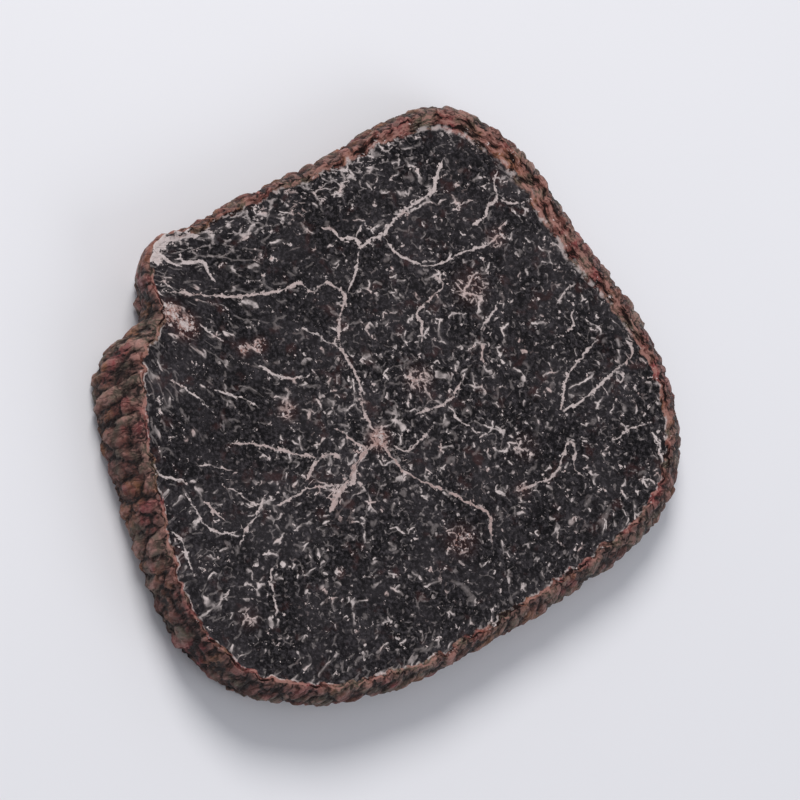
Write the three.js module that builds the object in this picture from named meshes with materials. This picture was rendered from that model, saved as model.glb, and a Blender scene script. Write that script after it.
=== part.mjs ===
// A slice of black truffle, cut right across: a disc of veined flesh with its warty skin left on round the edge.
// Millimetres, +Z up. The slice lies on the wider of its two cut faces, and the origin is under the middle of its box.
import * as THREE from "three";

// Thickness of the slice at its thick left edge, and what it loses for each millimetre to the right
const THICKNESS = 5.4;
const WEDGE = 0.022;
// The skin stands proud of the dried flesh by LIP, which falls away over the outer LIP_SHARE of the face
const LIP = 0.3;
const LIP_SHARE = 0.09;
// The flesh is hollowed by DISH in the middle
const DISH = 0.3;
// Slow waves that drying leaves in the upper face: height, and length along X and Y
const WAVE = 0.18;
const WAVE_LENGTH_X = 44;
const WAVE_LENGTH_Y = 56;
// The skin's lower edge curls off the table, outside the flat part of the underside
const CURL = 0.45;
const FLAT_SHARE = 0.86;
// The wall swells by BULGE between the two cuts
const BULGE = 0.35;
// The tallest warts stand WART high, and the lowest lose WART_SPREAD of that
const WART = 0.38;
const WART_SPREAD = 0.45;

// Corners of the upper cut face, anticlockwise from the right: x, y, and how much wider the truffle is at the lower cut
const RIM = [
  [21.4, 0.6, 1.6],
  [20.1, 5.1, 1.6],
  [16.9, 9.8, 1.6],
  [13.1, 14.2, 1.5],
  [10.2, 18.4, 1.4],
  [6.8, 21.4, 1.2],
  [2.1, 22.8, 0.8],
  [-2.5, 21.0, 0.3],
  [-6.9, 17.9, 0.1],
  [-12.8, 14.7, 0.0],
  [-18.4, 11.3, -0.3],
  [-22.0, 9.9, -1.2],
  [-22.4, 7.0, -1.4],
  [-20.8, 4.4, 0.0],
  [-22.3, 1.4, 1.7],
  [-22.4, -2.9, 1.6],
  [-21.3, -8.4, 0.9],
  [-20.0, -13.7, 0.3],
  [-17.8, -18.6, 0.1],
  [-13.8, -21.8, 0.2],
  [-7.2, -22.4, 0.4],
  [0.0, -20.3, 0.6],
  [7.2, -16.1, 0.8],
  [13.5, -11.7, 1.2],
  [18.6, -7.7, 1.5],
  [21.1, -3.6, 1.6],
];

// Rings of the surface, from the middle of the underside, out, up the wall and in over the upper face
const UNDER_SHARES = [0, 0.3, 0.6, FLAT_SHARE];
const WALL_HEIGHTS = [0, 0.14, 0.28, 0.43, 0.58, 0.73, 0.88, 1];
const UPPER_SHARES = [0.96, 0.9, 0.68, 0.45, 0.22, 0];
const COLUMNS = 180;

const rim = new THREE.CatmullRomCurve3(
  RIM.map(([x, y, flare]) => new THREE.Vector3(x, y, flare)),
  true,
  "centripetal",
);
rim.arcLengthDivisions = 2000;
const leftEdge = Math.min(...RIM.map(([x]) => x));

// Height of the upper cut at the rim
function rimHeight(x, y) {
  const wave = Math.sin((2 * Math.PI * x) / WAVE_LENGTH_X) * Math.cos((2 * Math.PI * y) / WAVE_LENGTH_Y);
  return THICKNESS - WEDGE * (x - leftEdge) + WAVE * wave;
}

function underPoint(edge, share) {
  const out = 1 + edge.z / Math.hypot(edge.x, edge.y);
  return new THREE.Vector3(edge.x * out * share, edge.y * out * share, 0);
}

function upperPoint(edge, share) {
  const x = edge.x * share;
  const y = edge.y * share;
  const inside = THREE.MathUtils.smoothstep(1 - share, 0, LIP_SHARE);
  return new THREE.Vector3(x, y, rimHeight(x, y) - LIP * inside - DISH * (1 - share * share));
}

// Warts stand on alternate corners of the wall's grid, and the grooves between them on the others
function wartHeight(column, row) {
  const between = row > 0 && row < WALL_HEIGHTS.length - 1;
  if (!between || (column + row) % 2 !== 0) {
    return 0;
  }
  return WART * (1 - WART_SPREAD * THREE.MathUtils.seededRandom(1 + column + COLUMNS * row));
}

function wallPoint(edge, height, column, row) {
  const swell = BULGE * Math.sin(Math.PI * height) + wartHeight(column, row);
  const out = edge.z * (1 - height * height) + swell;
  const scale = 1 + out / Math.hypot(edge.x, edge.y);
  const z = CURL + (rimHeight(edge.x, edge.y) - CURL) * height;
  return new THREE.Vector3(edge.x * scale, edge.y * scale, z);
}

// A lathe of unit radius has the rings and columns that the slice needs, and each corner then moves to its place
function sliceGeometry() {
  const rings = [
    ...UNDER_SHARES.map((share) => (edge) => underPoint(edge, share)),
    ...WALL_HEIGHTS.map((height, row) => (edge, column) => wallPoint(edge, height, column, row)),
    ...UPPER_SHARES.map((share) => (edge) => upperPoint(edge, share)),
  ];
  const last = rings.length - 1;
  const profile = rings.map((_, ring) => new THREE.Vector2(Math.sin((Math.PI * ring) / last), ring));
  const geometry = new THREE.LatheGeometry(profile, COLUMNS);
  const { position, uv } = geometry.attributes;
  for (let i = 0; i < position.count; i += 1) {
    const column = Math.round(uv.getX(i) * COLUMNS) % COLUMNS;
    const ring = Math.round(uv.getY(i) * last);
    const point = rings[ring](rim.getPointAt(column / COLUMNS), column);
    position.setXYZ(i, point.x, point.y, point.z);
  }
  geometry.computeBoundingBox();
  const middle = geometry.boundingBox.getCenter(new THREE.Vector3());
  geometry.translate(-middle.x, -middle.y, 0);
  geometry.computeVertexNormals();
  return geometry;
}

const flesh = new THREE.MeshStandardMaterial({ color: 0x3b3638, roughness: 0.6, metalness: 0 });
const slice = new THREE.Mesh(sliceGeometry(), flesh);
slice.name = "truffle_slice";

const truffle = new THREE.Group();
truffle.add(slice);

export default truffle;
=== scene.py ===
"""A slice of black truffle, lying on its wider cut face.

Dark flesh with pale branching veins lies inside a rim of warty skin.
"""

import math

import bmesh
import bpy
import numpy as np
from bpy.props import FloatProperty, FloatVectorProperty, IntProperty, PointerProperty
from mathutils import Matrix, Vector, noise
from mathutils.bvhtree import BVHTree


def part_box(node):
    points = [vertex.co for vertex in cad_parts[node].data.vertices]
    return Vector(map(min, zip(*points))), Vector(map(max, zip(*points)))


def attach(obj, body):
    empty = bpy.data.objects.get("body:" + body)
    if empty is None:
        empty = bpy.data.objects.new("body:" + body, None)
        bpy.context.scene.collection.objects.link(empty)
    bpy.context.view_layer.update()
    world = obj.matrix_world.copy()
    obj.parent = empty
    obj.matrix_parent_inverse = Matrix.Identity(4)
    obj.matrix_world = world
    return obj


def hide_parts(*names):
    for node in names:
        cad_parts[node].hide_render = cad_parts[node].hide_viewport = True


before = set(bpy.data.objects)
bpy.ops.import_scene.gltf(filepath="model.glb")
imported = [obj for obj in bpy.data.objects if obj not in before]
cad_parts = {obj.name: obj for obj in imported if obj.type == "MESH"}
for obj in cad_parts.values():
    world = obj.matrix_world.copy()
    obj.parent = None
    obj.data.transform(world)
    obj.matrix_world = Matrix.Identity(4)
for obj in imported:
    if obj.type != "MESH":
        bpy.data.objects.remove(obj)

bl_info = {
    "name": "Black Truffle Slice",
    "version": (1, 0, 0),
    "blender": (4, 5, 0),
    "location": "3D View > Sidebar > Truffle",
    "description": "Builds a slice of black truffle on a pale studio floor",
    "category": "Add Mesh",
}

MM = 0.001
NODE = "truffle_slice"
PIECE = "veined_slice"
CAD_LOW, CAD_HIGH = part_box(NODE)


# Settings that a user would change

def length(name, description, millimetres):
    """A length setting, kept in metres."""
    return FloatProperty(
        name=name, description=description, default=millimetres * MM, min=0, unit="LENGTH", precision=5
    )


def share(name, description, default):
    """A setting from 0 to 1."""
    return FloatProperty(name=name, description=description, default=default, min=0, max=1, subtype="FACTOR")


def colour(name, description, default):
    """A linear colour setting."""
    return FloatVectorProperty(
        name=name, description=description, default=default, size=3, min=0, max=1, subtype="COLOR"
    )


def power(name, description, watts):
    """A light's power."""
    return FloatProperty(name=name, description=description, default=watts, min=0, unit="POWER")


def angle(name, description, degrees):
    """An angle setting, kept in radians."""
    return FloatProperty(name=name, description=description, default=math.radians(degrees), subtype="ANGLE")


class TruffleShape(bpy.types.PropertyGroup):
    """Sizes of the slice that the frame doesn't give."""

    side_cells: IntProperty(
        name="Cells along a side", description="Faces along each of the cage's four sides",
        default=184, min=20, max=190,
    )
    wall_cells: IntProperty(
        name="Cells up the skin", description="Faces from the lower cut to the upper one",
        default=30, min=4, max=34,
    )
    curl: length("Curl", "Height of the skin's lower edge off the table", 0.45)
    flat_share: share("Flat share", "How far out the underside lies flat", 0.86)
    wart_size: length("Wart size", "Distance from one wart to the next along the rim", 1.25)
    wart_height: length("Wart height", "Height of a wart over the groove beside it", 0.5)
    ridge_size: length("Ridge size", "Distance between the fine ridges on a wart", 0.9)
    ridge_height: length("Ridge height", "Height of the fine ridges on a wart", 0.25)
    relief: length("Relief", "Height of the unevenness that drying leaves in the cut face", 0.1)


class TruffleColours(bpy.types.PropertyGroup):
    """Colours of the flesh, its veins and the skin."""

    flesh: colour("Flesh", "Dark ground of the cut face", (0.0048, 0.0042, 0.0052))
    flesh_light: colour("Light flesh", "Paler clouds in the ground", (0.060, 0.053, 0.059))
    stain: colour("Stain", "Reddish stains in the ground", (0.052, 0.020, 0.019))
    vein: colour("Vein", "Pale veins", (0.62, 0.54, 0.53))
    vein_tan: colour("Tan vein", "Veins that have browned", (0.29, 0.118, 0.088))
    skin: colour("Skin", "Reddish brown of the warts", (0.125, 0.042, 0.033))
    skin_red: colour("Reddened skin", "Redder patches on the skin", (0.190, 0.036, 0.040))
    skin_ochre: colour("Ochre skin", "Ochre patches on the skin", (0.250, 0.115, 0.048))
    # Painted highlight: the pale colour of the wart tips, of the skin's spots of sheen and of its upper edge
    skin_tip: colour("Wart tip", "Worn tips of the warts", (0.37, 0.190, 0.163))
    # Painted shade in the grooves and cracks between the warts
    skin_groove: colour("Groove", "Grooves between the warts", (0.011, 0.005, 0.0045))
    skin_grey: colour("Weathered skin", "Grey-green patches on the skin", (0.082, 0.079, 0.055))


class TruffleStudio(bpy.types.PropertyGroup):
    """Camera, lights and floor."""

    tilt: angle("Tilt", "Angle between the view and the cut face's normal", 27)
    turn: angle("Turn", "Direction that the view leans to, from -X towards -Y", 30)
    lens: FloatProperty(name="Lens", description="Focal length", default=200, unit="CAMERA", min=1)
    fill: share("Fill", "Share of the picture's width that the slice's longest side takes", 0.8)
    floor: colour("Floor", "Pale floor", (0.80, 0.80, 0.84))
    key_power: power("Key light", "Power of the main light", 1.9)
    fill_power: power("Fill light", "Power of the soft light opposite", 0.4)
    world: FloatProperty(
        name="Room light", description="Strength of the even light all round", default=0.42, min=0
    )


# Main veins, drawn on the upper cut face, in millimetres from DRAWING_ORIGIN.
# Each is: half its width before it swells and narrows, how tan it is from 0 to 1, and the points that it
# passes.
# A stem's branches are twigs, kept apart so that each list's lines stay clear of each other.

STEMS = [
    (0.17, 0.25, [(-20.1, 5.8), (-15.6, 6.0), (-11.5, 6.8), (-9.5, 7.7), (-8.6, 7.1), (-7.3, 8.0),
        (-5.8, 7.1), (-6.2, 5.6), (-6.2, 3.4), (-4.6, 0.6), (-4.2, -1.7), (-3.1, -3.5), (-3.9, -4.6),
        (-4.8, -6.0), (-5.3, -7.2), (-6.4, -7.8), (-6.8, -9.0)]),
    (0.26, 0.10, [(-7.8, 12.2), (-6.9, 12.1), (-6.2, 11.5), (-5.1, 11.6), (-4.6, 11.0), (-3.7, 11.8),
        (-2.8, 12.2), (-2.1, 13.1), (-0.6, 14.6), (1.2, 15.9), (1.7, 17.2), (2.3, 19.1)]),
    (0.17, 0.10, [(12.2, -0.1), (13.6, 0.7), (15.6, 2.4), (16.7, 3.5), (18.3, 5.0), (17.6, 6.5)]),
    (0.16, 0.20, [(8.2, -6.6), (9.3, -6.2), (11.3, -5.3), (12.2, -3.9), (12.7, -2.4), (13.3, -2.6),
        (13.3, -4.4), (14.7, -5.3)]),
    (0.16, 0.15, [(6.9, 18.5), (6.6, 17.3), (6.9, 16.2), (6.0, 15.4), (5.9, 14.7), (4.6, 13.7)]),
    (0.15, 0.20, [(-0.1, -1.5), (1.0, -1.0), (2.6, -0.3), (3.5, 0.9), (4.1, 2.2)]),
    (0.16, 0.30, [(-7.6, -5.5), (-8.9, -5.4), (-10.9, -5.2), (-12.4, -5.0), (-14.2, -5.0), (-15.1, -5.1)]),
    (0.20, 0.05, [(-21.6, 8.9), (-20.8, 8.5), (-19.8, 8.0), (-17.4, 8.4), (-17.0, 7.6), (-16.3, 6.9)]),
    (0.16, 0.05, [(-18.7, -9.0), (-17.9, -10.2), (-17.2, -11.2), (-16.5, -11.8), (-15.4, -11.9),
        (-14.5, -11.6)]),
    (0.14, 0.05, [(-21.9, -3.5), (-21.7, -6.5), (-20.8, -8.0), (-18.8, -8.3), (-18.3, -8.8)]),
    (0.15, 0.00, [(-20.1, -0.8), (-18.3, -1.5), (-17.0, -2.4), (-16.7, -3.0)]),
    (0.14, 0.00, [(-17.8, 3.7), (-15.6, 2.5)]),
    (0.14, 0.10, [(16.7, -1.9), (18.1, -0.9), (20.0, -0.1)]),
    (0.15, 0.10, [(13.6, 10.2), (12.5, 9.4), (11.8, 8.1)]),
    (0.14, 0.10, [(7.5, 7.9), (6.8, 7.8), (6.2, 6.8), (5.3, 5.5)]),
    (0.15, 0.10, [(-12.2, -8.5), (-12.7, -9.9), (-13.8, -11.4), (-14.3, -13.0)]),
    (0.18, 0.05, [(-20.1, -12.3), (-19.2, -12.4), (-18.7, -13.4), (-18.1, -15.0)]),
    (0.14, 0.10, [(-11.5, -13.9), (-11.8, -14.9), (-11.5, -16.2), (-11.3, -17.8)]),
    (0.11, 0.00, [(-9.3, 4.4), (-7.6, 3.6), (-6.3, 3.3)]),
]
TWIGS = [
    (0.16, 0.45, [(-3.3, -3.4), (-2.4, -4.4), (-1.5, -5.3), (-1.0, -5.9), (0.8, -6.6), (2.6, -7.1),
        (4.2, -7.8), (5.9, -8.5), (6.2, -9.8), (6.2, -10.9)]),
    (0.16, 0.20, [(-5.0, -7.2), (-6.6, -7.5), (-8.7, -7.9), (-9.8, -8.6), (-11.5, -9.5)]),
    (0.17, 0.35, [(-3.6, -4.5), (-4.6, -4.2), (-6.0, -3.4), (-6.8, -3.1)]),
    (0.15, 0.30, [(-5.9, -5.9), (-6.6, -5.1), (-8.0, -5.7), (-8.7, -7.0), (-9.1, -7.6)]),
    (0.14, 0.10, [(-2.8, 12.2), (-1.7, 10.9), (0.1, 10.3), (1.2, 10.2), (2.3, 10.6), (4.1, 11.6),
        (6.2, 12.4)]),
    (0.14, 0.10, [(-6.2, 11.5), (-7.5, 10.6)]),
    (0.14, 0.10, [(-5.1, 11.6), (-4.4, 13.1)]),
    (0.15, 0.10, [(-4.6, 10.8), (-4.9, 10.0), (-5.0, 9.0), (-5.6, 7.3)]),
    (0.15, 0.20, [(1.2, 9.7), (2.3, 8.9), (1.4, 7.8), (0.1, 6.5), (0.6, 5.4), (0.4, 3.9)]),
    (0.15, 0.15, [(12.2, -0.1), (12.4, 1.8), (12.9, 3.0), (14.9, 5.5), (15.4, 5.8)]),
    (0.13, 0.10, [(15.6, 2.4), (16.3, 1.4)]),
    (0.13, 0.10, [(16.7, 3.4), (17.2, 2.7), (17.8, 3.3)]),
    (0.14, 0.15, [(6.9, 16.2), (8.2, 15.9), (9.3, 16.2)]),
    (0.14, 0.15, [(2.8, 14.6), (4.2, 15.6), (5.3, 15.8)]),
    (0.14, 0.20, [(11.3, -5.3), (12.2, -6.2)]),
    (0.14, 0.10, [(2.6, -0.3), (3.7, -1.6), (4.8, -2.0)]),
    (0.30, 0.10, [(-21.4, 9.1), (-20.6, 9.6), (-19.6, 9.9), (-18.6, 10.2), (-17.6, 10.3)]),
    (0.13, 0.05, [(-18.8, -8.3), (-18.5, -7.1)]),
    (0.14, 0.05, [(-13.1, 1.1), (-10.9, 0.4), (-8.9, 0.6), (-8.2, 1.2)]),
    (0.14, 0.05, [(-16.5, -1.1), (-15.4, -1.4), (-13.8, -1.6), (-12.5, -2.3)]),
    (0.36, 0.30, [(-17.2, -9.6), (-16.0, -10.6), (-15.3, -11.0)]),
    (0.13, 0.10, [(-17.8, -7.0), (-16.5, -6.9), (-14.7, -7.2)]),
    (0.13, 0.10, [(-15.8, -8.3), (-14.7, -8.6), (-13.1, -9.5), (-12.4, -9.2)]),
    (0.13, 0.10, [(13.6, 8.6), (13.1, 7.6), (13.3, 6.9), (12.5, 6.0)]),
    (0.13, 0.10, [(-14.9, -15.7), (-15.4, -16.6), (-16.0, -17.0)]),
    (0.13, 0.20, [(-2.1, -3.8), (-0.8, -4.4), (0.4, -3.4), (1.5, -2.0)]),
    (0.24, 0.50, [(-3.2, -3.7), (-4.1, -4.7), (-4.7, -5.5), (-5.1, -6.3), (-5.5, -7.1)]),
    (0.50, 0.35, [(-5.0, -6.4), (-5.7, -7.3), (-6.3, -8.1), (-6.7, -8.9), (-7.0, -9.6)]),
]
# Fuzzy patches where small veins crowd together: place, reach and how tan they are
PATCHES = [
    ((-3.0, -3.6), 1.5, 0.85),
    ((0.3, 1.3), 1.8, 0.45),
    ((9.1, -3.1), 1.7, 0.25),
    ((-6.3, -8.0), 1.2, 0.3),
    ((3.7, -10.8), 2.0, 0.55),
    ((8.9, -6.5), 1.0, 0.5),
    ((6.8, 13.1), 1.2, 0.55),
    ((4.6, 8.9), 2.2, 0.45),
    ((-13.6, -18.0), 1.4, 0.35),
    ((-14.0, 2.2), 1.0, 0.8),
    ((-12.7, 2.6), 1.0, 0.8),
    ((-10.4, -2.1), 1.3, 0.6),
    ((-20.0, 4.2), 1.6, 1.0),
    ((-18.8, 3.4), 1.7, 1.0),
]
# The corner where the skin is missing: places and reaches
SCARS = [
    ((-21.7, 8.8), 1.9),
    ((-21.0, 9.6), 1.5),
    ((-19.6, 10.9), 1.2),
]
# Where the drawing's origin lies on the slice, in millimetres
DRAWING_ORIGIN = (0.563, 0.032)


# The slice's shape, taken from the frame

# The rim is looked for from the skin inwards
RIM_STEP = 0.1 * MM
RIM_TRIES = 60


class Solid:
    """The frame's solid, felt by rays. Lengths are in metres."""

    def __init__(self, node):
        bm = bmesh.new()
        bm.from_mesh(node.data)
        bmesh.ops.remove_doubles(bm, verts=bm.verts, dist=1e-6)
        self.tree = BVHTree.FromBMesh(bm)
        bm.free()
        self.outside = 2 * max(CAD_HIGH.x, CAD_HIGH.y)

    def hit(self, start, direction):
        place = self.tree.ray_cast(start, direction)[0]
        if place is None:
            raise RuntimeError(f"no surface of {NODE} is met from {tuple(start)}")
        return place

    def radius(self, turn, height):
        out = Vector((math.cos(turn), math.sin(turn), 0))
        place = self.hit(out * self.outside + Vector((0, 0, height)), -out)
        return math.hypot(place.x, place.y)

    def top(self, x, y):
        return self.hit(Vector((x, y, 2 * CAD_HIGH.z)), Vector((0, 0, -1))).z

    def rim(self, turn):
        """Radius and height of the upper cut's edge, which stands higher than the flesh inside it."""
        outer = self.radius(turn, CAD_HIGH.z / 2)
        ways = [outer - RIM_STEP * i for i in range(RIM_TRIES)]
        heights = [self.top(way * math.cos(turn), way * math.sin(turn)) for way in ways]
        best = int(np.argmax(heights))
        return ways[best], heights[best]


def smoothstep(low, high, value):
    t = np.clip((value - low) / (high - low), 0, 1)
    return t * t * (3 - 2 * t)


def blurred(values, reach, wraps):
    """A running mean along the last axis, done twice, over reach samples each way."""
    for _ in range(2):
        mode = "wrap" if wraps else "edge"
        padded = np.pad(values, [(0, 0)] * (values.ndim - 1) + [(reach, reach)], mode=mode)
        total = np.cumsum(np.insert(padded, 0, 0, axis=-1), axis=-1)
        width = 2 * reach + 1
        values = (total[..., width:] - total[..., :-width]) / width
    return values


class Wall:
    """The skin as a table: a row goes round at one height, and a column goes up at one place on the rim."""

    ROUND = 720
    RIM_BLUR = 2
    RIM_HEIGHT_BLUR = 4
    ROUND_BLUR = 5
    UP_BLUR = 4

    def __init__(self, solid, columns, rows, curl):
        turn = np.linspace(0, 2 * math.pi, self.ROUND, endpoint=False)
        radii, heights = np.array([solid.rim(t) for t in turn]).T
        radii = blurred(radii, self.RIM_BLUR, wraps=True)
        heights = blurred(heights, self.RIM_HEIGHT_BLUR, wraps=True)
        x, y = radii * np.cos(turn), radii * np.sin(turn)
        steps = np.hypot(np.roll(x, -1) - x, np.roll(y, -1) - y)
        way = np.concatenate([[0], np.cumsum(steps)]) / steps.sum()
        self.columns, self.curl = columns, curl
        self.turn = np.interp(np.arange(columns) / columns, way, np.append(turn, 2 * math.pi))
        self.rim_height = np.interp(self.turn, turn, heights, period=2 * math.pi)
        self.level = curl + (self.rim_height - curl) * np.arange(rows + 1)[:, None] / rows
        rim_radius = np.interp(self.turn, turn, radii, period=2 * math.pi)
        table = np.array([
            [solid.radius(t, z) for t, z in zip(self.turn, level)] for level in self.level[:-1]
        ])
        table = np.vstack([blurred(table, self.ROUND_BLUR, wraps=True), rim_radius])
        self.radius = blurred(table.T, self.UP_BLUR, wraps=False).T
        self.radius[-1] = rim_radius

    def along(self, values, fraction):
        """A column's value at a fraction of the way round."""
        return np.interp(fraction * self.columns, np.arange(self.columns + 1), np.append(values, values[0]))

    def direction(self, fraction):
        unwrapped = np.append(self.turn, self.turn[0] + 2 * math.pi)
        turn = np.interp(fraction * self.columns, np.arange(self.columns + 1), unwrapped)
        return np.cos(turn), np.sin(turn)


# How close to the cage's side a corner has to be to lie on it
CAGE_CLOSE = 1e-4


def cage(columns, rows):
    """A closed box from -1 to 1: the cut faces are square grids, and the skin is rows of faces round them."""
    bm = bmesh.new()
    bmesh.ops.create_cube(bm, size=2)
    level = [e for e in bm.edges if abs(e.verts[0].co.z - e.verts[1].co.z) < 1]
    bmesh.ops.subdivide_edges(bm, edges=level, cuts=columns - 1, use_grid_fill=True)
    upright = [e for e in bm.edges if abs(e.verts[0].co.z - e.verts[1].co.z) > 1]
    bmesh.ops.subdivide_edges(bm, edges=upright, cuts=rows - 1, use_grid_fill=True)
    bm.verts.ensure_lookup_table()
    return bm


def square_round(x, y):
    """Share of the way out, and fraction of the way round, of points of a square from -1 to 1."""
    out = np.maximum(np.abs(x), np.abs(y))
    safe = np.where(out > 0, out, 1)
    u, v = x / safe, y / safe
    side = np.select([np.abs(u) >= np.abs(v), v > 0], [np.where(u > 0, v, 4 - v), 2 - u], 6 + u)
    return out, np.mod(side / 8, 1)


class Corners:
    """Where each of the cage's corners lies on the slice."""

    def __init__(self, bm, wall, rows):
        self.square = np.array([v.co[:] for v in bm.verts])
        self.out, self.fraction = square_round(self.square[:, 0], self.square[:, 1])
        self.is_top = self.square[:, 2] > 1 - CAGE_CLOSE
        self.is_under = self.square[:, 2] < CAGE_CLOSE - 1
        self.on_wall = self.out > 1 - CAGE_CLOSE
        self.row = np.rint((self.square[:, 2] + 1) / 2 * rows).astype(int)
        self.column = np.rint(self.fraction * wall.columns).astype(int) % wall.columns
        self.up = self.row / rows
        self.cos, self.sin = wall.direction(self.fraction)


# The skin's warts. They are longer up the skin than along it, and the ridges on them much longer.
WART_SQUEEZE = 0.32
WART_BEND_SCALE = 2.3
WART_BEND = 0.18
WART_SHOULDER = 0.42
WART_POINT = 0.65
WART_LEAST = 0.55
WART_MIDDLE = 0.45
NUMBER_SPREAD = 37.7
# The bends' offsets come from mathutils' own random numbers, which are otherwise new at each run
WART_SEED = 7
RIDGE_SQUEEZE = 0.28
RIDGE_TOP = 2.2
RIDGE_MIDDLE = 0.5
# Smoothness of the ridges, their spacing, octaves, offset and gain
RIDGE_NOISE = (1.0, 2.1, 3, 1.0, 2.0)
# The warts lose SCAR_CALM of their height at the scar, over these shares of its reach
SCAR_CALM = 0.7
SCAR_CALM_REACH = (0.4, 1.2)


def wart(place, shape):
    """How far a place on the skin stands up, from 0 in a groove to 1 on a wart, its ridges and its number."""
    at = Vector(place) / shape.wart_size
    at += noise.noise_vector(at * WART_BEND_SCALE) * WART_BEND
    at.z *= WART_SQUEEZE
    near, centres = noise.voronoi(at)
    dome = min(1.0, (near[1] - near[0]) / WART_SHOULDER)
    number = noise.cell(centres[0] * NUMBER_SPREAD) % 1
    at = Vector(place) / shape.ridge_size
    at.z *= RIDGE_SQUEEZE
    ridge = noise.ridged_multi_fractal(at, *RIDGE_NOISE) / RIDGE_TOP
    return dome ** WART_POINT * (WART_LEAST + (1 - WART_LEAST) * number), min(1.0, ridge), number


def warty_skin(wall, shape):
    """The skin's radii with its warts, and each place's height on its wart, ridges and wart number."""
    cos, sin = np.cos(wall.turn), np.sin(wall.turn)
    warts = np.array([
        [wart((r * a, r * b, z), shape) for r, a, b, z in zip(radii, cos, sin, level)]
        for radii, level in zip(wall.radius, wall.level)
    ])
    (scar_x, scar_y), reach = SCARS[0]
    x, y = wall.radius * cos / MM - DRAWING_ORIGIN[0], wall.radius * sin / MM - DRAWING_ORIGIN[1]
    low, high = (reach * part for part in SCAR_CALM_REACH)
    scarred = 1 - smoothstep(low, high, np.hypot(x - scar_x, y - scar_y))
    rise = shape.wart_height * (warts[..., 0] - WART_MIDDLE)
    rise += shape.ridge_height * (warts[..., 1] - RIDGE_MIDDLE)
    return wall.radius + rise * (1 - SCAR_CALM * scarred), warts


# The skin's bumps die out inwards from the edge of a cut face to BUMPS_FROM of its radius
BUMPS_FROM = 0.88
CURL_POWER = 1.6
# The upper cut rises to the skin's edge from LIP_FROM of its radius
LIP_FROM = 0.94
SMOOTHINGS = 12
# Unevenness from drying: its scale, and its smoothness, spacing and octaves
DRIED_SCALE = 0.045
DRIED_NOISE = (0.9, 2.0, 3)


def corner_radii(corners, wall, skin):
    """Each corner's radius: the skin's own on the wall, and a share of the outline on a cut face."""
    bumps = smoothstep(BUMPS_FROM, 1, corners.out)
    radii = skin[corners.row, corners.column]
    for cut, row in ((corners.is_top, -1), (corners.is_under, 0)):
        edge = wall.along(skin[row], corners.fraction)
        smooth = wall.along(wall.radius[row], corners.fraction)
        radii = np.where(cut & ~corners.on_wall, corners.out * (smooth + (edge - smooth) * bumps), radii)
    return radii


def corner_heights(corners, wall, solid, x, y, shape):
    """Each corner's height. The underside's edge curls up, and the upper cut has a lip and dries uneven."""
    beyond_flat = np.clip((corners.out - shape.flat_share) / (1 - shape.flat_share), 0, 1)
    curl = beyond_flat**CURL_POWER * wall.curl
    z = np.where(corners.is_under, curl, wall.level[corners.row, corners.column])
    rim_height = wall.along(wall.rim_height, corners.fraction)
    rim_radius = wall.along(wall.radius[-1], corners.fraction)
    for i in np.flatnonzero(corners.is_top & ~corners.on_wall):
        out = corners.out[i]
        reach = rim_radius[i] * min(out, LIP_FROM)
        inside = solid.top(reach * corners.cos[i], reach * corners.sin[i])
        t = max(0.0, (out - LIP_FROM) / (1 - LIP_FROM))
        dried = noise.fractal(Vector((x[i], y[i], 0)) / shape.relief * DRIED_SCALE, *DRIED_NOISE)
        dried *= shape.relief * (1 - t) * min(out, LIP_FROM) / max(out, LIP_FROM)
        z[i] = inside + (rim_height[i] - inside) * t * t + dried
    return z


def slice_mesh(shape):
    """The slice's mesh, with the values that its materials read."""
    noise.seed_set(WART_SEED)
    rows = shape.wall_cells
    solid = Solid(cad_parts[NODE])
    wall = Wall(solid, 4 * shape.side_cells, rows, shape.curl)
    bm = cage(shape.side_cells, rows)
    corners = Corners(bm, wall, rows)
    skin, warts = warty_skin(wall, shape)
    radius = corner_radii(corners, wall, skin)
    x, y = radius * corners.cos, radius * corners.sin
    z = corner_heights(corners, wall, solid, x, y, shape)
    for vert, place in zip(bm.verts, np.stack([x, y, z], 1)):
        vert.co = place
    soft = [v for v, inner in zip(bm.verts, corners.is_top & (corners.out < LIP_FROM)) if inner]
    for _ in range(SMOOTHINGS):
        bmesh.ops.smooth_vert(bm, verts=soft, factor=0.5, use_axis_x=False, use_axis_y=False, use_axis_z=True)
    map_for_bake(bm, corners)
    for face in bm.faces:
        face.smooth = True
        cut = any(all(side[v.index] for v in face.verts) for side in (corners.is_top, corners.is_under))
        face.material_index = 0 if cut else 1
    bmesh.ops.recalc_face_normals(bm, faces=bm.faces)
    mesh = bpy.data.meshes.new(PIECE)
    bm.to_mesh(mesh)
    bm.free()
    for name, values in mesh_fields(corners, wall, skin, warts, x, y, z).items():
        attribute = mesh.attributes.new(name, "FLOAT_VECTOR", "POINT")
        attribute.data.foreach_set("vector", values.astype(np.float32).ravel())
    return mesh


BAKE_MAP = "OFBake"
# Where each cut face lies on the map: its middle, and half its side, below 0 where it is turned over
TOP_MAP = ((0.30, 0.30), 0.29)
UNDER_MAP = ((0.80, 0.20), -0.19)
STRIP_FROM = 0.62
STRIP_STEP = 0.095
STRIP_HEIGHT = 0.085
STRIP_MARGIN = 0.01
# The strips start at a corner of the cage, an eighth of the way round before its first column
STRIP_TURN = 0.125


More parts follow.
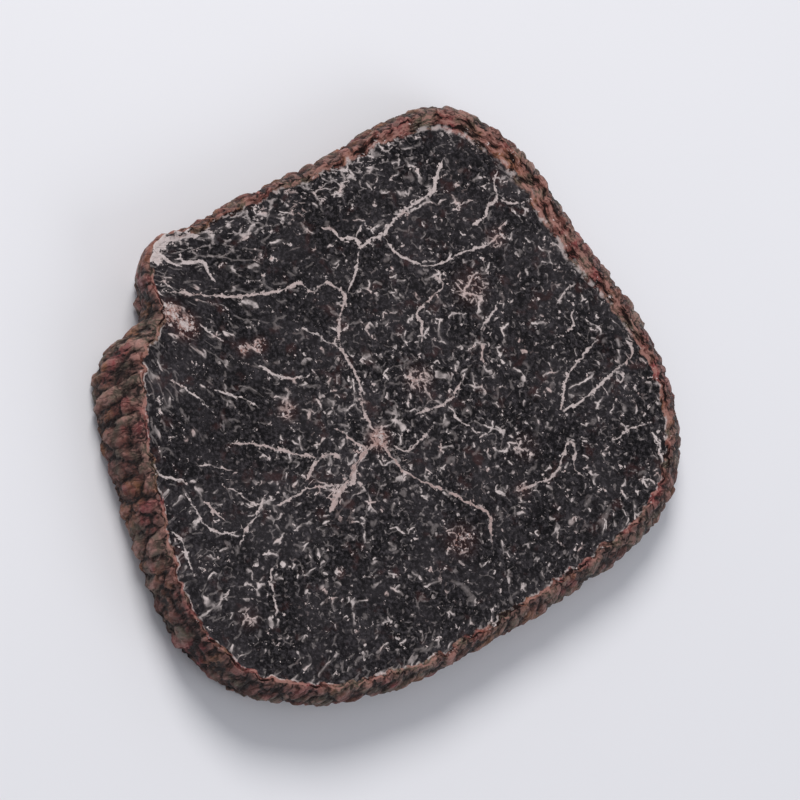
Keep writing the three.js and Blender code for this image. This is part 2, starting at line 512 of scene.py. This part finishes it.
def map_for_bake(bm, corners):
    """Lays the faces out flat: the upper cut large, the under cut beside it, and the skin in four strips."""
    layer = bm.loops.layers.uv.new(BAKE_MAP)
    for face in bm.faces:
        index = [v.index for v in face.verts]
        for cut, ((u, v), half) in ((corners.is_top, TOP_MAP), (corners.is_under, UNDER_MAP)):
            if all(cut[index]):
                for loop in face.loops:
                    x, y = corners.square[loop.vert.index, :2]
                    loop[layer].uv = (u + half * x, v + abs(half) * y)
                break
        else:
            middle = corners.square[index, :2].mean(0)
            _, where = square_round(middle[:1], middle[1:])
            side = int(np.mod(where[0] + STRIP_TURN, 1) * 4)
            for loop in face.loops:
                i = loop.vert.index
                along = np.mod(corners.fraction[i] + STRIP_TURN - side / 4 + 0.5, 1) - 0.5
                loop[layer].uv = (
                    STRIP_MARGIN + (1 - 2 * STRIP_MARGIN) * 4 * along,
                    STRIP_FROM + STRIP_STEP * side + STRIP_HEIGHT * corners.up[i],
                )


# Values that the mesh carries for its materials

# Veins are drawn with a point every VEIN_STEP, and run thin over VEIN_END at both ends. Past VEIN_REACH
# from a vein, its width is lost. Lengths in millimetres.
VEIN_STEP = 0.25
VEIN_END = 1.2
VEIN_REACH = (0.5, 0.9)
FIELD_BATCH = 2000


def drawn(points, step):
    """A smooth line through points, with a point about every step."""
    p = np.array(points, float)
    p = np.vstack([2 * p[0] - p[1], p, 2 * p[-1] - p[-2]])
    line = []
    for a, b, c, d in zip(p, p[1:], p[2:], p[3:]):
        t = np.linspace(0, 1, max(2, int(np.hypot(*(c - b)) / step)), endpoint=False)[:, None]
        square, cube = 2 * a - 5 * b + 4 * c - d, 3 * b - a - 3 * c + d
        line.append(0.5 * (2 * b + (c - a) * t + square * t * t + cube * t**3))
    return np.vstack([*line, p[-2:-1]])


def batches(count):
    """Slices that cover count places, a batch at a time."""
    return [slice(first, first + FIELD_BATCH) for first in range(0, count, FIELD_BATCH)]


def vein_field(x, y, veins):
    """For places in millimetres: signed distance to the nearest vein, half width there, and how tan it is."""
    starts, ends, halves, tans = [], [], [], []
    for half, tan, points in veins:
        line = drawn(points, VEIN_STEP)
        steps = np.hypot(*np.diff(line, axis=0).T)
        way = np.concatenate([[0], np.cumsum(steps)])
        thin = np.minimum(way, way[-1] - way) / VEIN_END
        starts.append(line[:-1])
        ends.append(line[1:])
        widths = half * np.sqrt(np.clip(thin, 0, 1))
        halves.append(np.stack([widths[:-1], widths[1:]], 1))
        tans.append(np.full(len(line) - 1, tan))
    starts, ends, halves, tans = map(np.concatenate, (starts, ends, halves, tans))
    along = ends - starts
    squared = (along**2).sum(1)
    made = np.zeros((len(x), 3), np.float32)
    for part in batches(len(x)):
        dx, dy = x[part, None] - starts[:, 0], y[part, None] - starts[:, 1]
        t = np.clip((dx * along[:, 0] + dy * along[:, 1]) / squared, 0, 1)
        away = np.hypot(dx - t * along[:, 0], dy - t * along[:, 1])
        side = np.sign(along[:, 0] * dy - along[:, 1] * dx)
        best = away.argmin(1)
        row = np.arange(len(best))
        near = away[row, best]
        width = halves[best, 0] + (halves[best, 1] - halves[best, 0]) * t[row, best]
        made[part, 0] = near * np.where(side[row, best] < 0, -1, 1)
        made[part, 1] = width * (1 - smoothstep(*VEIN_REACH, near))
        made[part, 2] = tans[best]
    return made


# Small veins crowd along the rim towards FRINGE_TURN, over these millimetres inwards
FRINGE_TURN = math.radians(125)
FRINGE_REACH = (0.8, 5.5)
FRINGE_SPREAD = (0.6, 0.95)
FRINGE_CROWD = 0.75
# A patch and a scar are whole up to this share of their reach
PATCH_CORE = 0.25
SCAR_CORE = 0.3


def patch_field(x, y, inward):
    """For places in millimetres: how far small veins crowd together, how tan they are, and the scar."""
    patch, tan, scar = np.zeros(len(x)), np.zeros(len(x)), np.zeros(len(x))
    for (px, py), reach, tanned in PATCHES:
        near = 1 - smoothstep(PATCH_CORE * reach, reach, np.hypot(x - px, y - py))
        tan = np.maximum(tan, near * tanned)
        patch = np.maximum(patch, near)
    for (px, py), reach in SCARS:
        scar = np.maximum(scar, 1 - smoothstep(SCAR_CORE * reach, reach, np.hypot(x - px, y - py)))
    towards = np.clip(np.cos(np.arctan2(y, x) - FRINGE_TURN), 0, 1)
    fringe = (1 - smoothstep(*FRINGE_REACH, inward)) * smoothstep(*FRINGE_SPREAD, towards)
    return np.stack([np.maximum(patch, FRINGE_CROWD * fringe), tan, scar], 1)


# The veins on the left fan out from FAN_CENTRE. They fade with the way from it, and towards the lower side.
FAN_CENTRE = (-27.0, 8.0)
FAN_FADE = (13, 23)
FAN_LOWER_FADE = (-17, -10)
FAN_STRETCH = 0.45
FAN_RADIUS = 11


def fan_field(x, y):
    """For places in millimetres: way out and way round in the fan, and how far the place is in it."""
    far = np.hypot(x - FAN_CENTRE[0], y - FAN_CENTRE[1])
    turn = np.arctan2(y - FAN_CENTRE[1], x - FAN_CENTRE[0])
    in_fan = (1 - smoothstep(*FAN_FADE, far)) * smoothstep(*FAN_LOWER_FADE, y)
    return np.stack([far * FAN_STRETCH, turn * FAN_RADIUS, in_fan], 1)


# The rind's width on the cut face, in millimetres: least, and how much more it is towards RIND_TURN
RIND_LEAST = 0.35
RIND_MORE = 1.1
RIND_TURN = math.radians(62)
RIND_LOBE = 4
# Shares of the wart's dome and of its ridges in the height that the skin's colours follow
DOME_SHARE = 0.7
RIDGE_SHARE = 0.3
# How far the underside's veins are moved from the upper face's, and the length of the waves, in millimetres
UNDER_BEND = 0.7
UNDER_WAVES = (5, 4)


def drawing_places(corners, wall, x, y):
    """Places on the drawing, in millimetres. The underside has the upper face's veins, a little moved."""
    top, low = (wall.along(wall.radius[row], corners.fraction) for row in (-1, 0))
    grow = np.where(corners.is_under, top / low, 1) / MM
    x, y = x * grow - DRAWING_ORIGIN[0], y * grow - DRAWING_ORIGIN[1]
    bend = np.where(corners.is_under, UNDER_BEND, 0)
    return x + bend * np.sin(y / UNDER_WAVES[0] + 1), y + bend * np.sin(x / UNDER_WAVES[1])


def mesh_fields(corners, wall, skin, warts, x, y, z):
    """The values that the materials read, three for each corner. Lengths in them are in millimetres."""
    fx, fy = drawing_places(corners, wall, x, y)
    edge = np.stack([skin[-1] * np.cos(wall.turn), skin[-1] * np.sin(wall.turn)], 1) / MM - DRAWING_ORIGIN
    inward = np.zeros(len(x))
    for part in batches(len(x)):
        inward[part] = np.hypot(fx[part, None] - edge[:, 0], fy[part, None] - edge[:, 1]).min(1)
    dome, ridge, number = warts[corners.row, corners.column].T
    below = (wall.along(wall.rim_height, corners.fraction) - z) / MM
    lobe = np.clip(np.cos(np.arctan2(y, x) - RIND_TURN), 0, 1) ** RIND_LOBE
    on_wall = np.stack([-below, dome * DOME_SHARE + ridge * RIDGE_SHARE, number])
    on_cut = np.stack([inward, RIND_LEAST + RIND_MORE * lobe, np.zeros(len(x))])
    return {
        "stems": vein_field(fx, fy, STEMS), "twigs": vein_field(fx, fy, TWIGS),
        "patches": patch_field(fx, fy, inward), "fan": fan_field(fx, fy),
        "skin": np.where(corners.on_wall, on_wall, on_cut).T,
    }


# Materials

class Nodes:
    """Adds nodes to one tree and joins them. Sockets and plain numbers are both taken as inputs."""

    def __init__(self, tree):
        self.tree = tree
        tree.nodes.clear()

    def put(self, kind, inputs=None, **settings):
        node = self.tree.nodes.new(kind)
        node.location = (len(self.tree.nodes) * 180 % 2400, -(len(self.tree.nodes) // 13) * 220)
        for name, value in settings.items():
            setattr(node, name, value)
        for name, value in (inputs or {}).items():
            self.join(value, node.inputs[name])
        return node

    def join(self, value, socket):
        if isinstance(value, bpy.types.NodeSocket):
            self.tree.links.new(value, socket)
        else:
            socket.default_value = value

    def math(self, operation, *values):
        node = self.put("ShaderNodeMath", operation=operation)
        for value, socket in zip(values, node.inputs):
            self.join(value, socket)
        return node.outputs[0]

    def chain(self, operation, *values):
        """One number from several, two at a time."""
        made = values[0]
        for value in values[1:]:
            made = self.math(operation, made, value)
        return made

    def sum(self, *values):
        return self.chain("ADD", *values)

    def product(self, *values):
        return self.chain("MULTIPLY", *values)

    def largest(self, *values):
        return self.chain("MAXIMUM", *values)

    def rest(self, value):
        """What a share leaves of 1."""
        return self.math("SUBTRACT", 1.0, value)

    def vector(self, operation, *values):
        node = self.put("ShaderNodeVectorMath", operation=operation)
        for value, socket in zip(values, node.inputs):
            self.join(value, socket)
        return node.outputs[0]

    def scaled(self, vector, scale):
        inputs = {"Vector": vector, "Scale": scale}
        return self.put("ShaderNodeVectorMath", inputs, operation="SCALE").outputs[0]

    def combined(self, x, y, z):
        return self.put("ShaderNodeCombineXYZ", {"X": x, "Y": y, "Z": z}).outputs[0]

    def separated(self, vector):
        return self.put("ShaderNodeSeparateXYZ", {"Vector": vector}).outputs

    def ramp(self, value, low, high, to_low=0.0, to_high=1.0):
        """A smooth step from low to high."""
        names = ("Value", "From Min", "From Max", "To Min", "To Max")
        values = dict(zip(names, (value, low, high, to_low, to_high)))
        return self.put("ShaderNodeMapRange", values, interpolation_type="SMOOTHSTEP").outputs["Result"]

    def mixed(self, factor, first, second):
        node = self.put("ShaderNodeMix", data_type="RGBA")
        colours = [s for s in node.inputs if s.type == "RGBA"]
        self.join(factor, node.inputs["Factor"])
        for value, socket in zip((first, second), colours):
            self.join(value if isinstance(value, bpy.types.NodeSocket) else (*value, 1), socket)
        return next(s for s in node.outputs if s.type == "RGBA")

    def cloud(self, vector, size, detail=2.0, roughness=0.5, output="Fac"):
        """Clouds of about the size given, in the vector's own unit, mostly from 0.3 to 0.7."""
        inputs = {"Vector": vector, "Scale": 1 / size, "Detail": detail, "Roughness": roughness}
        return self.put("ShaderNodeTexNoise", inputs, noise_dimensions="3D").outputs[output]

    def sway(self, vector, size, detail, roughness, reach):
        """Clouds that reach equally far below and above 0."""
        return self.product(self.math("SUBTRACT", self.cloud(vector, size, detail, roughness), 0.5), reach)

    def cell_edge(self, vector, scale, dimensions):
        """Distance to the nearest edge of a pattern of cells."""
        inputs = {"Vector": vector, "Scale": scale, "Randomness": 1.0}
        kind = {"feature": "DISTANCE_TO_EDGE", "voronoi_dimensions": dimensions}
        return self.put("ShaderNodeTexVoronoi", inputs, **kind).outputs["Distance"]

    def parts(self, name):
        """The three numbers of one of the mesh's attributes."""
        node = self.put("ShaderNodeAttribute", attribute_name=name)
        return self.separated(node.outputs["Vector"])

    def group(self, tree, **inputs):
        node = self.put("ShaderNodeGroup", node_tree=tree)
        for name, value in inputs.items():
            self.join(value, node.inputs[name])
        return node.outputs


def node_group(name, inputs, outputs):
    """A new shader node group, with its nodes, its inputs and a function that joins its outputs."""
    tree = bpy.data.node_groups.new(name, "ShaderNodeTree")
    for side, sockets in (("INPUT", inputs), ("OUTPUT", outputs)):
        for socket, kind in sockets.items():
            tree.interface.new_socket(socket, in_out=side, socket_type=f"NodeSocket{kind}")
    nodes = Nodes(tree)
    entry = nodes.put("NodeGroupInput").outputs

    def give(**values):
        nodes.put("NodeGroupOutput", values)

    return tree, nodes, entry, give


def small_veins():
    """Short, broken, branching lines: the edges of cells, where a cloud lets them show. In millimetres."""
    inputs = {"Vector": "Vector", "Cell": "Float", "Width": "Float", "Keep": "Float", "Seed": "Float"}
    tree, nodes, entry, give = node_group("Small Veins", inputs, {"Lines": "Float", "Halo": "Float"})
    moved = nodes.vector("ADD", entry["Vector"], nodes.combined(*[entry["Seed"]] * 3))
    at = nodes.scaled(moved, nodes.math("DIVIDE", 1.0, entry["Cell"]))
    wander = nodes.vector("SUBTRACT", nodes.cloud(at, 0.8, 3.0, 0.6, "Color"), (0.5, 0.5, 0.5))
    bent = nodes.vector("ADD", at, nodes.scaled(wander, 0.9))
    away = nodes.product(nodes.cell_edge(bent, 1.0, "2D"), entry["Cell"])

    # A line narrows to nothing where the cloud drops under what is kept
    shut = nodes.rest(entry["Keep"])
    shown = nodes.ramp(nodes.cloud(at, 0.62, 0.0), nodes.sum(shut, -0.03), nodes.sum(shut, 0.09))
    half = nodes.product(entry["Width"], 0.5, shown)
    beyond = nodes.math("SUBTRACT", half, away)
    thick = nodes.ramp(half, 0.01, 0.06)
    give(Lines=nodes.product(nodes.ramp(beyond, -0.05, 0.05), thick),
         Halo=nodes.product(nodes.ramp(beyond, -0.22, 0.04), thick))
    return tree


# Marks on the skin are longer up the skin than along it
SKIN_MARKS = (1, 1, 0.35)


def skin_colours():
    """The skin's colour from a wart's height and number, with painted highlight on the wart tips and painted
    shade in the grooves and cracks, at places in millimetres, and its fine relief.
    """
    inputs = {"Vector": "Vector", "Height": "Float", "Number": "Float"}
    inputs |= {name: "Color" for name in ("Skin", "Red", "Ochre", "Tip", "Groove", "Grey")}
    tree, nodes, entry, give = node_group("Truffle Skin", inputs, {"Color": "Color", "Relief": "Float"})
    at = nodes.vector("MULTIPLY", entry["Vector"], SKIN_MARKS)
    grain = nodes.cloud(at, 0.22, 3.0, 0.65)
    crack = nodes.cell_edge(nodes.vector("ADD", at, nodes.cloud(at, 0.5, 1.0, output="Color")), 1.15, "3D")
    smooth = nodes.ramp(crack, 0.0, 0.2)

    # Red, ochre and grey-green patches, and spots of painted sheen, stronger on some warts
    tint = nodes.cloud(entry["Vector"], 3.0, output="Color")
    tint = nodes.put("ShaderNodeSeparateColor", {"Color": tint}).outputs
    base = nodes.mixed(nodes.ramp(tint[0], 0.48, 0.62), entry["Skin"], entry["Red"])
    base = nodes.mixed(nodes.ramp(tint[1], 0.50, 0.66, 0, 0.75), base, entry["Ochre"])
    of_wart = nodes.product(entry["Number"], 0.2)
    weathered = nodes.ramp(nodes.sum(nodes.cloud(entry["Vector"], 2.2), of_wart), 0.55, 0.72)
    base = nodes.mixed(weathered, base, entry["Grey"])
    painted_sheen = nodes.ramp(nodes.cloud(at, 0.55, 3.0, 0.65), 0.46, 0.7, 0, 0.62)
    base = nodes.mixed(nodes.sum(painted_sheen, of_wart), base, entry["Tip"])

    # Painted shade in the cracks and grooves, and painted highlight on the wart tips
    crack_shaded = nodes.mixed(nodes.product(nodes.rest(smooth), 0.5), base, entry["Groove"])
    height = nodes.sum(entry["Height"], nodes.product(nodes.math("SUBTRACT", grain, 0.5), 0.7))
    tip_highlighted = nodes.mixed(nodes.ramp(height, 0.6, 0.95, 0, 0.7), crack_shaded, entry["Tip"])
    groove_shaded = nodes.mixed(nodes.ramp(height, 0.21, 0.58), entry["Groove"], tip_highlighted)
    give(Color=groove_shaded, Relief=nodes.sum(nodes.product(grain, 0.6), nodes.product(smooth, 0.4)))
    return tree


def skin_group_values(colours):
    names = ("skin", "skin_red", "skin_ochre", "skin_tip", "skin_groove", "skin_grey")
    return {name.split("_")[-1].title(): (*getattr(colours, name), 1) for name in names}


def bumped(nodes, height, distance, strength):
    inputs = {"Height": height, "Distance": distance, "Strength": strength}
    return nodes.put("ShaderNodeBump", inputs).outputs["Normal"]


def finished(nodes, shade, roughness, normal, **constants):
    """The material's Principled shader and its output."""
    shader = nodes.put("ShaderNodeBsdfPrincipled")
    for name, value in constants.items():
        shader.inputs[name.replace("_", " ")].default_value = value
    nodes.join(shade, shader.inputs["Base Color"])
    nodes.join(roughness, shader.inputs["Roughness"])
    nodes.join(normal, shader.inputs["Normal"])
    nodes.put("ShaderNodeOutputMaterial", {"Surface": shader.outputs[0]})


def new_material(name):
    material = bpy.data.materials.new(name)
    material.use_nodes = True
    return material, Nodes(material.node_tree)


def places(nodes):
    """Object coordinates in millimetres."""
    return nodes.scaled(nodes.put("ShaderNodeTexCoord").outputs["Object"], 1 / MM)


# Both finishes are matt, with fine relief from their bump
FLESH_GLOSS = 0.07
FLESH_BUMP = 0.09 * MM
SKIN_GLOSS = 0.22
SKIN_BUMP = 0.18 * MM
BUMP_STRENGTH = 0.9


def skin_material(colours, skin_tree):
    material, nodes = new_material("Truffle Skin")
    at = places(nodes)
    inward, height, number = nodes.parts("skin")
    skin = nodes.group(skin_tree, Vector=at, Height=height, Number=number, **skin_group_values(colours))

    # Paler along the upper cut's edge on its raised relief, worn skin with painted highlight, and paler round
    # the scar
    wear_and_highlight = nodes.product(nodes.ramp(inward, -1.0, -0.15), nodes.ramp(skin["Relief"], 0.35, 0.75, 0, 0.35))
    shade = nodes.mixed(wear_and_highlight, skin["Color"], colours.skin_tip)
    scar = nodes.product(nodes.parts("patches")[2], nodes.ramp(nodes.cloud(at, 0.8, 3.0, 0.6), 0.4, 0.6))
    shade = nodes.mixed(nodes.product(scar, 0.7), shade, colours.vein_tan)
    rough = nodes.ramp(skin["Relief"], 0.3, 0.8, 0.65, 0.42)
    normal = bumped(nodes, skin["Relief"], SKIN_BUMP, BUMP_STRENGTH)
    finished(nodes, shade, rough, normal, Specular_IOR_Level=SKIN_GLOSS)
    return material


def main_veins(nodes, at):
    """Masks of the drawn veins, which swell and narrow, and of how tan they are."""
    wobble = nodes.sway(at, 0.6, 3.0, 0.6, 0.6)
    swell = nodes.ramp(nodes.cloud(at, 0.8, 1.0), 0.36, 0.66, 0.2, 0.72)
    knots = nodes.ramp(nodes.cloud(at, 0.32), 0.52, 0.74, 0.0, 1.1)
    swell = nodes.sum(swell, knots)
    lines, tans = [], []
    for name in ("stems", "twigs"):
        distance, width, tan = nodes.parts(name)
        away = nodes.math("ABSOLUTE", nodes.sum(distance, wobble))
        half = nodes.product(width, swell)
        line = nodes.ramp(nodes.math("SUBTRACT", half, away), -0.04, 0.04)
        line = nodes.product(line, nodes.ramp(half, 0.01, 0.05))
        lines.append(line)
        tans.append(nodes.product(line, tan))
    return nodes.largest(*lines), nodes.largest(*tans)


# Layers of small veins, first those all over the flesh and then those along the fan. Each is: cell and
# line width in millimetres, how much of the flesh shows it, and a seed.
BOLD_VEINS = (((1.6, 0.18, 0.42, 3.1), (1.05, 0.15, 0.41, 47.7)), ((1.2, 0.14, 0.445, 11.3),))
FAINT_VEINS = (((0.65, 0.10, 0.48, 81.9),), ((0.7, 0.10, 0.515, 29.3),))
# How far the small veins' pattern shifts for each millimetre of height
DEPTH_SHIFT = 3.0


def scattered_veins(nodes, vein_tree, at, inward, crowded):
    """Mask of the small veins: two sizes all over the flesh, and two more drawn out along the fan."""
    way, turn, in_fan = nodes.parts("fan")
    depth = nodes.product(nodes.separated(at)[2], DEPTH_SHIFT)
    flat = nodes.vector("ADD", at, nodes.combined(depth, depth, 0.0))
    fanned = nodes.combined(way, turn, 0.0)
    fewer = (nodes.product(in_fan, -0.16), nodes.product(nodes.rest(in_fan), -0.14))

    # More veins in the patches and at the rim, and fewer between the rim and the middle
    more = nodes.sum(
        nodes.product(crowded, 0.11),
        nodes.ramp(inward, 4.5, 0.6, 0.0, 0.02),
        nodes.ramp(inward, 14.0, 8.0, 0.0, -0.05),
    )

    def layers(kinds):
        made = []
        for vector, less, sizes in zip((flat, fanned), fewer, kinds):
            for cell, width, keep, seed in sizes:
                values = {"Cell": cell, "Width": width, "Keep": nodes.sum(keep, more, less), "Seed": seed}
                made.append(nodes.group(vein_tree, Vector=vector, **values))
        return made

    bold, faint = layers(BOLD_VEINS), layers(FAINT_VEINS)
    strength = nodes.largest(nodes.ramp(nodes.cloud(at, 0.9, 1.0), 0.34, 0.64, 0.25, 1.0), crowded)
    lines = nodes.product(nodes.largest(*[layer["Lines"] for layer in bold]), strength)
    halo = nodes.product(nodes.largest(*[layer["Halo"] for layer in bold]), 0.09)
    faint_strength = nodes.largest(0.22, nodes.product(crowded, 0.8))
    faint_lines = nodes.product(nodes.largest(*[layer["Lines"] for layer in faint]), faint_strength)
    return nodes.largest(lines, halo, faint_lines)


def flesh_ground(nodes, at, speck, tan_patch, colours):
    """The dark ground, with paler clouds, fine specks and reddish stains."""
    cloud = nodes.ramp(nodes.cloud(at, 3.5, 3.0, 0.6), 0.35, 0.7, 0, 0.3)
    ground = nodes.mixed(cloud, colours.flesh, colours.flesh_light)
    ground = nodes.mixed(nodes.ramp(speck, 0.42, 0.75, 0, 0.9), ground, colours.flesh_light)
    stain = nodes.ramp(nodes.cloud(at, 1.6, 3.0, 0.6), 0.56, 0.72, 0, 0.45)
    return nodes.mixed(nodes.largest(stain, nodes.product(tan_patch, 0.6)), ground, colours.stain)


def rind_masks(nodes, at, inward, width, scar_patch):
    """Masks of the ragged rind, which is gone at the scar, and of the broken pale line inside it."""
    across = nodes.math("DIVIDE", nodes.sum(inward, nodes.sway(at, 1.0, 3.0, 0.6, 0.8)), width)
    rind = nodes.product(nodes.ramp(across, 1.1, 0.85), nodes.ramp(scar_patch, 0.5, 0.1))
    line = nodes.product(nodes.ramp(across, 0.6, 0.85), nodes.ramp(across, 1.2, 1.0))
    return rind, nodes.product(line, nodes.ramp(nodes.cloud(at, 0.7, 3.0), 0.48, 0.62))


# Streaks in the rind run along the rim, 1 / STREAK times as long as they are wide
STREAK = 0.3


def rind_colour(nodes, skin_tree, at, inward, colours):
    """The skin's colours, streaked along the rim, with the skin's painted highlight and painted shade
    following the streaks.
    """
    along = nodes.vector("MULTIPLY", at, (STREAK, STREAK, 0))
    streak = nodes.cloud(nodes.vector("ADD", along, nodes.combined(0.0, 0.0, inward)), 0.35, 3.0, 0.6)
    height = nodes.ramp(streak, 0.3, 0.72, 0.1, 1.1)
    values = {"Vector": at, "Height": height, "Number": 0.5}
    return nodes.group(skin_tree, **values, **skin_group_values(colours))["Color"]


def flesh_material(colours, vein_tree, skin_tree):
    material, nodes = new_material("Truffle Flesh")
    at = places(nodes)
    inward, rind_width, _ = nodes.parts("skin")
    patch, tan_patch, scar_patch = nodes.parts("patches")
    speck = nodes.cloud(at, 0.28, 3.0, 0.7)
    tatter = nodes.sway(at, 0.9, 5.0, 0.75, 3.2)

    # Veins on the dark ground
    main, tan = main_veins(nodes, at)
    crowded = nodes.ramp(nodes.sum(patch, nodes.product(tatter, 0.6)), 0.25, 0.9)
    veins = nodes.largest(nodes.product(main, 0.9), scattered_veins(nodes, vein_tree, at, inward, crowded))
    veins = nodes.product(veins, nodes.ramp(speck, 0.25, 0.55, 0.6, 1.0))
    hue = nodes.ramp(nodes.cloud(at, 1.8), 0.52, 0.72, 0, 0.4)
    browned = nodes.largest(nodes.product(tan_patch, 0.8), tan, hue)
    vein_colour = nodes.mixed(browned, colours.vein, colours.vein_tan)
    shade = nodes.mixed(veins, flesh_ground(nodes, at, speck, tan_patch, colours), vein_colour)

    # The rind and its pale line
    rind, pale_line = rind_masks(nodes, at, inward, rind_width, scar_patch)
    shade = nodes.mixed(rind, shade, rind_colour(nodes, skin_tree, at, inward, colours))
    shade = nodes.mixed(nodes.product(pale_line, 0.55), shade, vein_colour)

    # The scar where the skin is missing, and dry tissue, both torn at their edges
    torn = nodes.sum(nodes.sway(at, 0.4, 3.0, 0.7, 2.5), tatter)
    scar = nodes.ramp(nodes.sum(scar_patch, torn), 0.5, 0.8)
    tissue = nodes.ramp(nodes.sum(tan_patch, torn), 0.75, 1.05)
    dry = nodes.mixed(nodes.ramp(speck, 0.3, 0.62), colours.vein_tan, colours.vein)
    shade = nodes.mixed(nodes.product(scar, 0.95), shade, nodes.mixed(0.8, dry, colours.vein))
    shade = nodes.mixed(nodes.product(tissue, 0.8), shade, dry)

    rough = nodes.ramp(speck, 0.3, 0.7, 0.5, 0.7)
    raised = nodes.sum(nodes.product(veins, 0.5), nodes.product(speck, 0.5))
    normal = bumped(nodes, raised, FLESH_BUMP, BUMP_STRENGTH)
    finished(nodes, shade, rough, normal, Specular_IOR_Level=FLESH_GLOSS)
    return material


# The studio, in metres

FLOOR_SIZE = 4.0
FLOOR_CELLS = 40
FLOOR_LEVEL = -0.02 * MM
FLOOR_CLOUD = 0.05
FLOOR_ROUGHNESS = 0.7
FLOOR_BUMP = 0.1 * MM
# Lights: name, place, size and tint
LIGHTS = (
    ("key", (-0.12, 0.34, 0.36), 0.22, (1, 0.985, 0.96)),
    ("fill", (0.30, -0.22, 0.30), 0.30, (0.95, 0.97, 1)),
)
ROOM_TINT = (0.93, 0.95, 1, 1)


def floor_material(tint):
    material, nodes = new_material("Pale Floor")
    cloud = nodes.cloud(nodes.put("ShaderNodeTexCoord").outputs["Object"], FLOOR_CLOUD, 3.0)
    shade = nodes.mixed(nodes.ramp(cloud, 0.3, 0.7, 0, 0.4), tint, [0.96 * c for c in tint])
    finished(nodes, shade, FLOOR_ROUGHNESS, bumped(nodes, cloud, FLOOR_BUMP, 0.1))
    return material


def floor_object(studio):
    bm = bmesh.new()
    bmesh.ops.create_grid(bm, x_segments=FLOOR_CELLS, y_segments=FLOOR_CELLS, size=FLOOR_SIZE / 2)
    bmesh.ops.translate(bm, verts=bm.verts, vec=(0, 0, FLOOR_LEVEL))
    mesh = bpy.data.meshes.new("floor")
    bm.to_mesh(mesh)
    bm.free()
    mesh.materials.append(floor_material(studio.floor))
    return bpy.data.objects.new("floor", mesh)


def camera_object(studio, middle, width):
    """The camera, looking at the middle of the slice, with the slice's +Y up in the picture."""
    lean, turn = math.sin(studio.tilt), studio.turn
    back = Vector((-lean * math.cos(turn), -lean * math.sin(turn), math.cos(studio.tilt)))
    right = Vector((0, 1, 0)).cross(back).normalized()
    data = bpy.data.cameras.new("camera")
    data.lens = studio.lens
    distance = width / studio.fill * studio.lens / data.sensor_width
    data.clip_start, data.clip_end = distance / 100, distance * 100
    camera = bpy.data.objects.new("camera", data)
    turned = Matrix((right, back.cross(right), back)).transposed().to_4x4()
    camera.matrix_world = Matrix.Translation(middle + back * distance) @ turned
    return camera


def light_object(name, place, aim, size, watts, tint):
    data = bpy.data.lights.new(name, "AREA")
    data.shape, data.size, data.energy, data.color = "DISK", size, watts, tint
    light = bpy.data.objects.new(name, data)
    light.location = place
    light.rotation_euler = (aim - Vector(place)).to_track_quat("-Z", "Y").to_euler()
    return light


def room(strength):
    """The even light all round."""
    world = bpy.data.worlds.new("studio")
    world.use_nodes = True
    nodes = Nodes(world.node_tree)
    light = nodes.put("ShaderNodeBackground", {"Color": ROOM_TINT, "Strength": strength})
    nodes.put("ShaderNodeOutputWorld", {"Surface": light.outputs[0]})
    return world


# Operators

class TRUFFLE_OT_slice(bpy.types.Operator):
    """Add the slice, with its veined cut faces and warty skin"""

    bl_idname = "truffle.add_slice"
    bl_label = "Add Slice"

    def execute(self, context):
        scene = context.scene
        mesh = slice_mesh(scene.truffle_shape)
        vein_tree, skin_tree = small_veins(), skin_colours()
        mesh.materials.append(flesh_material(scene.truffle_colours, vein_tree, skin_tree))
        mesh.materials.append(skin_material(scene.truffle_colours, skin_tree))
        piece = bpy.data.objects.new(PIECE, mesh)
        context.collection.objects.link(piece)
        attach(piece, "root")
        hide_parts(NODE)
        return {"FINISHED"}


class TRUFFLE_OT_stage(bpy.types.Operator):
    """Add the pale floor, the soft lights and the camera"""

    bl_idname = "truffle.add_stage"
    bl_label = "Add Stage"

    def execute(self, context):
        scene, studio = context.scene, context.scene.truffle_studio
        middle = (CAD_LOW + CAD_HIGH) / 2
        width = max(CAD_HIGH.x - CAD_LOW.x, CAD_HIGH.y - CAD_LOW.y)
        floor = floor_object(studio)
        camera = camera_object(studio, middle, width)
        lights = [
            light_object(name, place, middle, size, getattr(studio, f"{name}_power"), tint)
            for name, place, size, tint in LIGHTS
        ]
        for item in (floor, camera, *lights):
            context.collection.objects.link(item)
        scene.camera = camera
        scene.world = room(studio.world)
        scene.view_settings.view_transform = "Standard"
        return {"FINISHED"}


class TRUFFLE_PT_panel(bpy.types.Panel):
    """Settings and buttons for the truffle slice"""

    bl_idname = "TRUFFLE_PT_panel"
    bl_label = "Black Truffle Slice"
    bl_space_type = "VIEW_3D"
    bl_region_type = "UI"
    bl_category = "Truffle"

    def draw(self, context):
        for settings, operator in (
            ((context.scene.truffle_shape, context.scene.truffle_colours), TRUFFLE_OT_slice),
            ((context.scene.truffle_studio,), TRUFFLE_OT_stage),
        ):
            box = self.layout.box()
            for group in settings:
                for name in group.__annotations__:
                    box.prop(group, name)
            box.operator(operator.bl_idname)


CLASSES = (TruffleShape, TruffleColours, TruffleStudio, TRUFFLE_OT_slice, TRUFFLE_OT_stage, TRUFFLE_PT_panel)


def register():
    for item in CLASSES:
        bpy.utils.register_class(item)
    bpy.types.Scene.truffle_shape = PointerProperty(type=TruffleShape)
    bpy.types.Scene.truffle_colours = PointerProperty(type=TruffleColours)
    bpy.types.Scene.truffle_studio = PointerProperty(type=TruffleStudio)


def unregister():
    del bpy.types.Scene.truffle_studio
    del bpy.types.Scene.truffle_colours
    del bpy.types.Scene.truffle_shape
    for item in reversed(CLASSES):
        bpy.utils.unregister_class(item)


def main():
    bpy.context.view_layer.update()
    register()
    bpy.ops.truffle.add_stage()
    bpy.ops.truffle.add_slice()
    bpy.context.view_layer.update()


if __name__ == "__main__":
    main()
